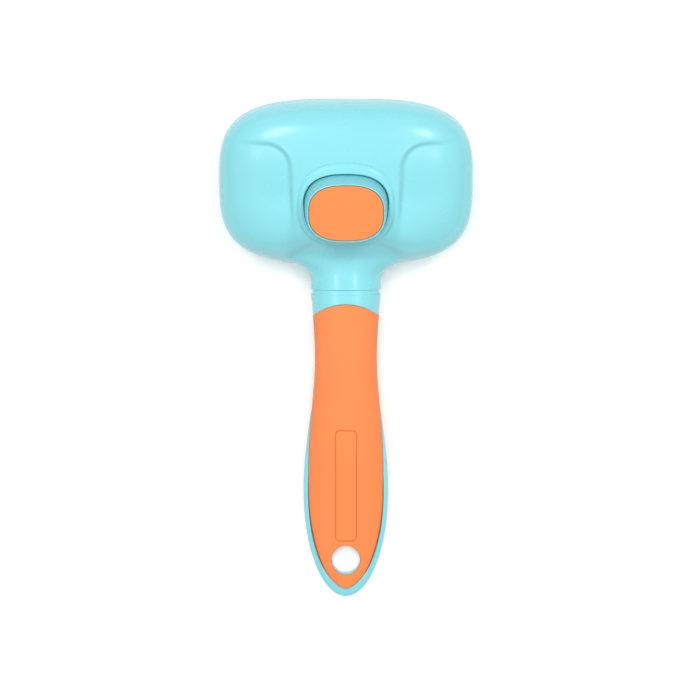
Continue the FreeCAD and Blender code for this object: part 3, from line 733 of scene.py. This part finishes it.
def half_width(y):
    """Half the handle's width: an ellipse, a belly, a half-cosine to the waist, and a flare to the collar."""
    tip = BELLY_HALF_WIDTH * np.sqrt(np.maximum(1 - (1 - np.minimum(y, TIP_LENGTH) / TIP_LENGTH) ** 2, 0))
    swing = 0.5 + 0.5 * np.cos(math.pi * np.clip((y - BELLY_END) / (WAIST - BELLY_END), 0, 1))
    body = WAIST_HALF_WIDTH + (BELLY_HALF_WIDTH - WAIST_HALF_WIDTH) * swing
    rise = np.clip((y - WAIST) / (COLLAR_END - WAIST), 0, 1)
    flare = (COLLAR_HALF_WIDTH - WAIST_HALF_WIDTH) * rise ** 1.8
    return np.where(y < TIP_LENGTH, tip, body + flare)


def grip_half_width(y):
    """Half the grips' width: an ellipse from the nose, then the handle's width less the rim's inset."""
    reach = np.clip((TIP_LENGTH - y) / (TIP_LENGTH - NOSE_INSET), 0, 1)
    tip = (BELLY_HALF_WIDTH - RIM_INSET) * np.sqrt(np.maximum(1 - reach ** 2, 0))
    return np.where(y < TIP_LENGTH, tip, half_width(y) - RIM_INSET * smooth((87 - y) / 44))


def rim_half_thickness(y):
    """Half the thickness of the rim, which thins towards the waist."""
    return RIM_HALF_THICKNESS - 1.5 * smooth((y - 48) / 45)


def grip_half_thickness(y):
    """Half the thickness over both grips, rounded down to the rim's at the nose."""
    thick = TIP_HALF_THICKNESS + (GRIP_HALF_THICKNESS - TIP_HALF_THICKNESS) * smooth((y - 10) / 70)
    nose = np.clip(1 - (y - NOSE_INSET) / NOSE_LENGTH, 0, 1)
    return RIM_HALF_THICKNESS + (thick - RIM_HALF_THICKNESS) * np.sqrt(1 - nose ** 2)


def arch(x):
    """Where the grips end at the collar: an arc of a circle."""
    return ARCH_TOP - ARCH_R + np.sqrt(ARCH_R ** 2 - np.minimum(np.abs(x), ARCH_R - 1) ** 2)


def grip_columns(y):
    """x of the grip's grid lines: evenly spaced in a middle band of constant width, then closing up towards
    the side as a sine."""
    narrow = grip_half_width(y)
    middle = np.minimum(5.5, 0.55 * narrow)
    k = np.arange(-GRIP_BAND - GRIP_EDGE, GRIP_BAND + GRIP_EDGE + 1)
    inner = np.clip(np.abs(k) / GRIP_BAND, 0, 1)
    outer = np.sin(0.5 * math.pi * np.clip((np.abs(k) - GRIP_BAND) / GRIP_EDGE, 0, 1))
    return np.sign(k) * (middle * inner + (narrow - middle) * outer)


def open_hole(x, y, row, column):
    """Opens the round hanging hole in a block of the grid. A point whose index is a share q of the way from
    the hole's middle to the block's edge, and whose distance from the middle is d, moves along its ray to the
    distance R + (d / q - R)(2q - 1): on the circle of radius R at q = 1/2, and where it was at q = 1. With it
    comes q, which is under 1/2 inside the hole."""
    i, j = np.indices(x.shape)
    reach = np.maximum(np.abs(i - row) / HOLE_BLOCK[0], np.abs(j - column) / HOLE_BLOCK[1])
    angle = np.arctan2(y - HOLE_Y, x)
    share = np.maximum(reach, 0.5)
    moved = GRIP_HOLE_R + (np.hypot(x, y - HOLE_Y) / share - GRIP_HOLE_R) * (2 * share - 1)
    inside = reach < 1
    x = np.where(inside, moved * np.cos(angle), x)
    y = np.where(inside, HOLE_Y + moved * np.sin(angle), y)
    return x, y, reach


def label_dip(x, y, depth):
    """How far the label panel lies below the grip, its depth inside a rounded rectangle with a steep side,
    and the share of the fine line scored round its foot."""
    corner = 1.6
    dx = np.maximum(np.abs(x) - LABEL_HALF[0] + corner, 0)
    dy = np.maximum(np.abs(y - LABEL_MIDDLE) - LABEL_HALF[1] + corner, 0)
    outside = np.hypot(dx, dy) - corner
    line = np.exp(-((outside + 0.12) / 0.17) ** 2)
    return depth * (1 - smooth((outside + 0.17) / 0.34) + 0.5 * line), line


def grip_points(label_depth):
    """One grip over the handle's middle plane: z = half thickness * (1 - |x / half width|^2.25)^(1 / 2.25),
    on rows from the nose to the arch, with the hanging hole and the label panel. The first row drops to the
    middle plane and closes the nose. With the points come the hole's share of the grid and the share of
    painted shade: the label's scored line, the grip's side down by the rim and its end at the arch."""
    behind = HOLE_Y - (HOLE_Y - NOSE_INSET - 0.03) * np.linspace(1, 0, 30, endpoint=False) ** 0.8
    ahead = HOLE_Y + 7.8 * np.linspace(0, 1, HOLE_BLOCK[0] + 1)
    label_low = LABEL_MIDDLE - LABEL_HALF[1]
    label_high = LABEL_MIDDLE + LABEL_HALF[1]
    body = [label_low + np.linspace(0.15, 2.4, 12), np.linspace(label_low + 2.8, label_high - 2.6, 90),
            label_high + np.linspace(-2.3, 0.4, 14), np.linspace(label_high + 0.9, ARCH_TOP - 1.2, 100),
            ARCH_TOP - np.array((0.8, 0.5, 0.3, 0.15, 0.05, 0.0))]
    rows = np.concatenate((behind[:1], behind, ahead, *body))[:, None]
    x = grip_columns(rows)
    for step in range(3):
        y = np.where(rows > 95, 95 + (rows - 95) * (arch(x) - 95) / (ARCH_TOP - 95), rows)
        x = grip_columns(y)
    end_gap = ARCH_TOP - rows
    x, y, reach = open_hole(x, y, len(behind) + 1, GRIP_BAND + GRIP_EDGE)
    narrow = np.maximum(grip_half_width(y), 1e-3)
    fullness = np.maximum(1 - np.abs(x / narrow) ** SECTION_POWER, 0)
    z = grip_half_thickness(y) * fullness ** (1 / SECTION_POWER)
    z[0] = 0
    dip, line = label_dip(x, y, label_depth)
    z = z - dip
    edge = 0.7 * rim_half_thickness(y)
    # painted shade: the grip's side down by the rim, the label's scored line and the end at the arch are marked to
    # be darkened as if shade fell there
    side = (1 - smooth((z - edge) / 0.45)) * smooth((84 - y) / 14)
    painted_groove_shade = np.maximum(0.55 * line * (label_depth > 0), 0.8 * side)
    end = (1 - smooth(end_gap / 0.5)) ** 2
    painted_groove_shade = np.maximum(painted_groove_shade, 0.7 * end)
    scale = 1 - 0.025 * end - 0.012 * np.exp(-z / 0.25) * (y > 30)
    return np.stack((x * scale, y, z * (1 - 0.03 * end)), axis=-1), reach, painted_groove_shade


class BRUSH_OT_grips(bpy.types.Operator):
    """Make the soft upper and lower grips"""
    bl_idname = "brush.grips"
    bl_label = "Grips"

    def execute(self, context):
        settings = context.scene.brush_grip
        for name, node, side, depth in (("upper_skin", "upper_grip", 1, settings.label_depth / MM),
                                        ("lower_skin", "lower_grip", -1, 0.0)):
            points, reach, painted_groove_shade = grip_points(depth)
            rows, columns = reach.shape
            quads = grid_quads(rows, columns, False)
            kept = (reach.reshape(-1)[quads] >= 0.5).all(axis=1)
            placed = in_handle(points.reshape(-1, 3) * (1, 1, side))
            faces = outwards(placed, [quads[kept]], in_handle(np.array((0.0, 60.0, -12.0 * side))))
            used = np.unique(faces[0])
            renumber = np.zeros(len(placed), int)
            renumber[used] = np.arange(len(used))
            piece = add_piece(name, placed[used], [renumber[faces[0]]], "brush", "grip_rubber", 50)
            # painted shade: each point's share of darkening in the grooves and gaps, read by the grip's finish
            shade_marks = piece.data.attributes.new("painted_groove_shade", "FLOAT", "POINT")
            shade_marks.data.foreach_set("value", painted_groove_shade.reshape(-1)[used])
            wall(piece, settings.skin / MM)
            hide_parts(node)
        return {"FINISHED"}


def rim_points():
    """The rim: a closed section carried along the handle's outline, round its end from waist to waist. The
    section is a rounded edge, z = half thickness * (1 - ((R - d) / R)^2.6)^(1 / 2.6) at a distance d inwards,
    with a fine channel along the grip's edge."""
    a = np.linspace(0, math.pi / 2, 61)
    tip_x = BELLY_HALF_WIDTH * np.sin(a)
    tip_y = TIP_LENGTH * (1 - np.cos(a))
    side_y = np.linspace(TIP_LENGTH, RIM_END, 50)[1:]
    x = np.concatenate((tip_x, half_width(side_y)))
    y = np.concatenate((tip_y, side_y))
    x = np.concatenate((-x[:0:-1], x))
    y = np.concatenate((y[:0:-1], y))
    along_x = np.gradient(x)
    along_y = np.gradient(y)
    length = np.hypot(along_x, along_y)
    in_x = -along_y / length
    in_y = along_x / length
    thick = rim_half_thickness(y) * (0.62 + 0.38 * np.sqrt(np.minimum(y / 5, 1)))
    sunk = 0.9 * smooth((y - 74) / 14)
    d = np.array((5.0, 4.0, 3.2, 2.5, 1.92, 1.86, 1.78, 1.4, 1.0, 0.7, 0.45, 0.25, 0.12, 0.04, 0.0))
    rise = (1 - ((17.0 - d) / 17.0) ** 2.6) ** (1 / 2.6)
    channel = 0.28 * smooth((d - 1.78) / 0.12) * smooth((y[:, None] - 5) / 8)
    depth = np.concatenate((d, d[-2::-1]))
    height = np.concatenate((rise - channel, (channel - rise)[:, -2::-1]), axis=1)
    inwards = depth[None, :] + sunk[:, None]
    px = x[:, None] + in_x[:, None] * inwards
    py = y[:, None] + in_y[:, None] * inwards
    return np.stack((px, py, thick[:, None] * height), axis=-1)


def eyelet_rows():
    """The wall of the hanging hole with rounded edges, and the flat round it that the grips lie on."""
    rows = [(8.4, 8.4, -2.2), (8.4, 8.4, 2.2), (7.0, 7.0, 2.75)]
    for a in np.radians(np.linspace(0, 90, 6)):
        radius = HOLE_R + 0.4 * (1 - math.sin(a))
        rows.append((radius, radius, 2.4 + 0.4 * math.cos(a)))
    lower = [(r, q, -z) for r, q, z in rows[2:]]
    return rows + lower[::-1] + rows[:1]


def collar_points():
    """The collar, flush with the grips: from a sunk edge at the arch, along the handle's section, to a
    rounded end and the groove in front of the neck."""
    x, z = oval(full_turn(COLLAR_COLUMNS), SECTION_POWER)
    start = arch(COLLAR_HALF_WIDTH * x) + 0.06
    rows = []
    for share, inset in ((-0.15, 1.6), (0.0, 1.0), (0.0, 0.22), (0.015, 0.05), (0.04, 0.0)):
        rows.append((start + (COLLAR_END - start) * share, inset))
    for share in np.linspace(0.1, 0.9, 14):
        rows.append((start + (COLLAR_END - start) * share, 0.0))
    for a in np.radians(np.linspace(0, 90, 6)):
        rows.append((COLLAR_END - 0.35 + 0.35 * math.sin(a) + 0 * x, 0.35 * (1 - math.cos(a))))
    rows += [(COLLAR_END + 0 * x, 0.75), (NECK_START + 0.4 + 0 * x, 0.75)]
    y = np.stack([row[0] for row in rows])
    inset = np.array([row[1] for row in rows])[:, None]
    return np.stack(((half_width(y) - inset) * x, y, (GRIP_HALF_THICKNESS - inset) * z), axis=-1)


class BRUSH_OT_handle_core(bpy.types.Operator):
    """Make what shows of the handle's core: the rim, the hanging hole's wall and the collar"""
    bl_idname = "brush.handle_core"
    bl_label = "Handle core"

    def execute(self, context):
        rim = rim_points()
        placed, faces = capped(in_handle(rim.reshape(-1, 3)), *rim.shape[:2])
        add_closed("handle_rim", placed, faces, "brush", "body_plastic", 50)
        rows = eyelet_rows()
        placed = in_handle(lathe(rows, EYELET_COLUMNS, 2.0, HOLE_Y))
        faces = [grid_quads(len(rows), EYELET_COLUMNS, True)]
        add_closed("hang_eyelet", placed, faces, "brush", "body_plastic", 40)
        collar = collar_points()
        placed, faces = capped(in_handle(collar.reshape(-1, 3)), *collar.shape[:2])
        piece = add_closed("collar", placed, faces, "brush", "body_plastic", 50)
        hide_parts("handle_core")
        return {"FINISHED"}


# ---------------------------------------------------------------- pins and springs

def pin_places():
    """The staggered places of the pins inside a superellipse, clear of the legs and the carrier's screws, and
    whether each is one of those that the head rests on: every third of the row nearest to the handle."""
    rows = int(PIN_FIELD[1] / PIN_PITCH[1])
    columns = int(PIN_FIELD[0] / PIN_PITCH[0]) + 1
    row, column = np.meshgrid(np.arange(-rows, rows + 1), np.arange(-columns, columns + 1), indexing="ij")
    x = ((column + 0.5 * (row % 2)) * PIN_PITCH[0]).ravel()
    y = (PLATE_MIDDLE + row * PIN_PITCH[1]).ravel()
    kept = np.abs(x / PIN_FIELD[0]) ** 3 + np.abs((y - PLATE_MIDDLE) / PIN_FIELD[1]) ** 3 < 1
    for places, gap in ((LEGS, LEG_CLEAR), (CARRIER_SCREWS, SCREW_CLEAR)):
        for a, b in places:
            kept &= np.hypot(x - a, y - b) > gap
    row = row.ravel()[kept]
    x = x[kept]
    y = y[kept]
    order = np.cumsum(row == -rows) - 1
    support = (row == -rows) & (order % SUPPORT_EVERY == 0)
    return x, y, support


def pin_shape(sides=6):
    """One wire pin: rings of a small circle down the shank, round the knee and along the bent end."""
    c = math.cos(PIN_BEND)
    s = math.sin(PIN_BEND)
    stops = ((0.0, PIN_HIGH, 0.0), (0.0, PIN_KNEE + 0.25, 0.0), (-0.01, PIN_KNEE, PIN_BEND / 2),
             (-0.25 * s, PIN_KNEE - 0.25 * c, PIN_BEND), (-PIN_END * s, PIN_KNEE - PIN_END * c, PIN_BEND))
    angle = full_turn(sides)
    x = PIN_R * np.cos(angle)
    across = PIN_R * np.sin(angle)
    rings = [np.stack((x, y + across * math.cos(a), z - across * math.sin(a)), axis=-1) for y, z, a in stops]
    return capped(np.concatenate(rings), len(stops), sides)


def bead_shape(sides=8):
    """One bead: a small ball in five rings, on the end of the bent pin."""
    angle = full_turn(sides)
    rings = []
    for a in np.radians((-72, -40, 0, 40, 72)):
        radius = BEAD_R * math.cos(a)
        height = BEAD_R * math.sin(a) + 0 * angle
        rings.append(np.stack((radius * np.cos(angle), radius * np.sin(angle), height), axis=-1))
    ball, faces = capped(np.concatenate(rings), len(rings), sides)
    return ball + (0, -BEAD_ALONG * math.sin(PIN_BEND), PIN_KNEE - BEAD_ALONG * math.cos(PIN_BEND)), faces


def repeated(points, faces, x, y):
    """Copies of one small shape at every place, as one set of arrays."""
    places = np.stack((x, y, 0 * x), axis=-1)
    whole = (points[None] + places[:, None]).reshape(-1, 3)
    shift = (np.arange(len(x)) * len(points))[:, None, None]
    return whole, [(group[None] + shift).reshape(-1, group.shape[1]) for group in faces]


class BRUSH_OT_pins(bpy.types.Operator):
    """Make the bent wire pins and their beads"""
    bl_idname = "brush.pins"
    bl_label = "Pins"

    def execute(self, context):
        x, y, support = pin_places()
        for name, shape, chosen, slot, node in (
                ("wire_pins", pin_shape(), ~support, "pin_steel", "bristle_pins"),
                ("wire_pin_beads", bead_shape(), ~support, "bead_resin", "bristle_tips"),
                ("resting_pins", pin_shape(), support, "pin_steel", "support_pins"),
                ("resting_pin_beads", bead_shape(), support, "bead_resin", "support_tips")):
            points, faces = repeated(*shape, x[chosen], y[chosen])
            piece = add_closed(name, in_head(points), faces, "brush", slot, 75)
            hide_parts(node)
        return {"FINISHED"}


def spring_points(side, turns=7, sides=10):
    """A coil spring: a small circle carried along a helix, whose height is a straight ramp of the angle
    between two flat ends of about three quarters of a turn. The lower one creeps up by under 0.002 mm."""
    steps = int((turns + 1.5) * 36)
    angle = np.linspace(0, 2 * math.pi * (turns + 1.5), steps)
    t = angle / angle[-1]
    ramp = np.clip((t - SPRING_FLAT) / 0.83, 0, 1)
    z = SPRING_LOW + SPRING_WIRE_R + (SPRING_HIGH - SPRING_LOW - 2 * SPRING_WIRE_R) * ramp
    z = z + np.where(t < SPRING_FLAT, SPRING_CREEP, 0) * t
    turn = full_turn(sides)
    radius = SPRING_R + SPRING_WIRE_R * np.cos(turn)[None, :]
    px = side * SPRING_SIDE + radius * np.cos(angle)[:, None]
    py = BUTTON_MIDDLE + radius * np.sin(angle)[:, None]
    pz = z[:, None] + SPRING_WIRE_R * np.sin(turn)[None, :]
    return np.stack((px, py, pz), axis=-1)


class BRUSH_OT_springs(bpy.types.Operator):
    """Make the two return springs"""
    bl_idname = "brush.springs"
    bl_label = "Springs"

    def execute(self, context):
        for name, node, side in (("spring_left", "return_spring_left", -1),
                                 ("spring_right", "return_spring_right", 1)):
            points = spring_points(side)
            placed, faces = capped(in_head(points.reshape(-1, 3)), *points.shape[:2])
            piece = add_closed(name, placed, faces, "brush", "spring_steel", 60)
            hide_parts(node)
            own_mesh(piece)
        return {"FINISHED"}


# ---------------------------------------------------------------- stage

def area_light(name, place, aim, size, power):
    """A soft white rectangular light that faces a point."""
    light = bpy.data.lights.new(name, "AREA")
    light.shape = "RECTANGLE"
    light.size, light.size_y = size
    light.energy = power
    lamp = bpy.data.objects.new(name, light)
    bpy.context.scene.collection.objects.link(lamp)
    lamp.location = place
    lamp.rotation_euler = (Vector(aim) - Vector(place)).to_track_quat("-Z", "Y").to_euler()
    return lamp


def table_finish():
    """A plain pale table top, faintly lit from within, with a trace of texture."""
    finish, shader = new_finish("white_table", (0.93, 0.93, 0.93), 0.85)
    shader.inputs["Emission Color"].default_value = (1, 1, 1, 1)
    shader.inputs["Emission Strength"].default_value = 0.15
    vary_roughness(finish, shader, noise(finish, 60.0), 0.8, 0.9)
    return finish


class BRUSH_OT_stage(bpy.types.Operator):
    """Make the table, the lights and the camera"""
    bl_idname = "brush.stage"
    bl_label = "Stage"

    def execute(self, context):
        settings = context.scene.brush_studio
        scene = context.scene
        mesh = bpy.data.meshes.new("table")
        mesh.from_pydata([(-4, -4, 0), (4, -4, 0), (4, 4, 0), (-4, 4, 0)], [], [(0, 1, 2, 3)])
        mesh.materials.append(table_finish())
        table = bpy.data.objects.new("table", mesh)
        scene.collection.objects.link(table)
        world = bpy.data.worlds.new("studio")
        world.use_nodes = True
        world.node_tree.nodes["Background"].inputs["Color"].default_value = (1, 1, 1, 1)
        world.node_tree.nodes["Background"].inputs["Strength"].default_value = settings.fill
        scene.world = world
        overhead = area_light("overhead", (0, 0, 1.5), (0, 0, 0.02), (1.0, 0.8), settings.key * 4.1)
        overhead.visible_glossy = False
        for name, place, aim_y, size, share in (
                ("far_left", (-0.34, 0.38, 0.97), 0.05, (0.36, 0.14), 0.62),
                ("far_right", (0.46, 0.38, 0.93), 0.05, (0.22, 0.14), 0.50),
                ("near_left", (-0.36, -0.17, 0.95), 0.02, (0.16, 0.12), 0.14),
                ("near_right", (0.36, -0.17, 0.95), 0.02, (0.16, 0.12), 0.14)):
            area_light(name, place, (0, aim_y, 0.02), size, settings.key * share)
        camera = bpy.data.cameras.new("camera")
        camera.lens = settings.lens
        camera.sensor_width = 36
        eye = bpy.data.objects.new("camera", camera)
        scene.collection.objects.link(eye)
        aim = Vector((-0.0026, 0.0043, 0.025))
        offset = Vector((0, -math.sin(settings.lean), math.cos(settings.lean))) * settings.distance
        eye.location = aim + offset
        eye.rotation_euler = (-offset).to_track_quat("-Z", "Y").to_euler()
        scene.camera = eye
        scene.view_settings.view_transform = "Standard"
        return {"FINISHED"}


# ---------------------------------------------------------------- panel and registration

OPERATORS = (BRUSH_OT_finishes, BRUSH_OT_rear_shell, BRUSH_OT_button, BRUSH_OT_grips, BRUSH_OT_handle_core,
             BRUSH_OT_pins, BRUSH_OT_springs, BRUSH_OT_stage)
SETTINGS = (BrushHeadSettings, BrushGripSettings, BrushFinishSettings, BrushStudioSettings)


class BRUSH_PT_panel(bpy.types.Panel):
    """The brush's settings and steps"""
    bl_idname = "BRUSH_PT_panel"
    bl_label = "Slicker brush"
    bl_space_type = "VIEW_3D"
    bl_region_type = "UI"
    bl_category = "Brush"

    def draw(self, context):
        scene = context.scene
        for group in (scene.brush_head, scene.brush_grip, scene.brush_finish, scene.brush_studio):
            box = self.layout.box()
            for name in group.__annotations__:
                box.prop(group, name)
        for operator in OPERATORS:
            self.layout.operator(operator.bl_idname)


def register():
    for kind in (*SETTINGS, *OPERATORS, BRUSH_PT_panel):
        bpy.utils.register_class(kind)
    bpy.types.Scene.brush_head = bpy.props.PointerProperty(type=BrushHeadSettings)
    bpy.types.Scene.brush_grip = bpy.props.PointerProperty(type=BrushGripSettings)
    bpy.types.Scene.brush_finish = bpy.props.PointerProperty(type=BrushFinishSettings)
    bpy.types.Scene.brush_studio = bpy.props.PointerProperty(type=BrushStudioSettings)


def unregister():
    del bpy.types.Scene.brush_studio
    del bpy.types.Scene.brush_finish
    del bpy.types.Scene.brush_grip
    del bpy.types.Scene.brush_head
    for kind in (BRUSH_PT_panel, *reversed(OPERATORS), *reversed(SETTINGS)):
        bpy.utils.unregister_class(kind)


def main():
    register()
    bpy.ops.brush.finishes()
    bpy.ops.brush.rear_shell()
    bpy.ops.brush.button()
    bpy.ops.brush.grips()
    bpy.ops.brush.handle_core()
    bpy.ops.brush.pins()
    bpy.ops.brush.springs()
    bpy.ops.brush.stage()


if __name__ == "__main__":
    main()
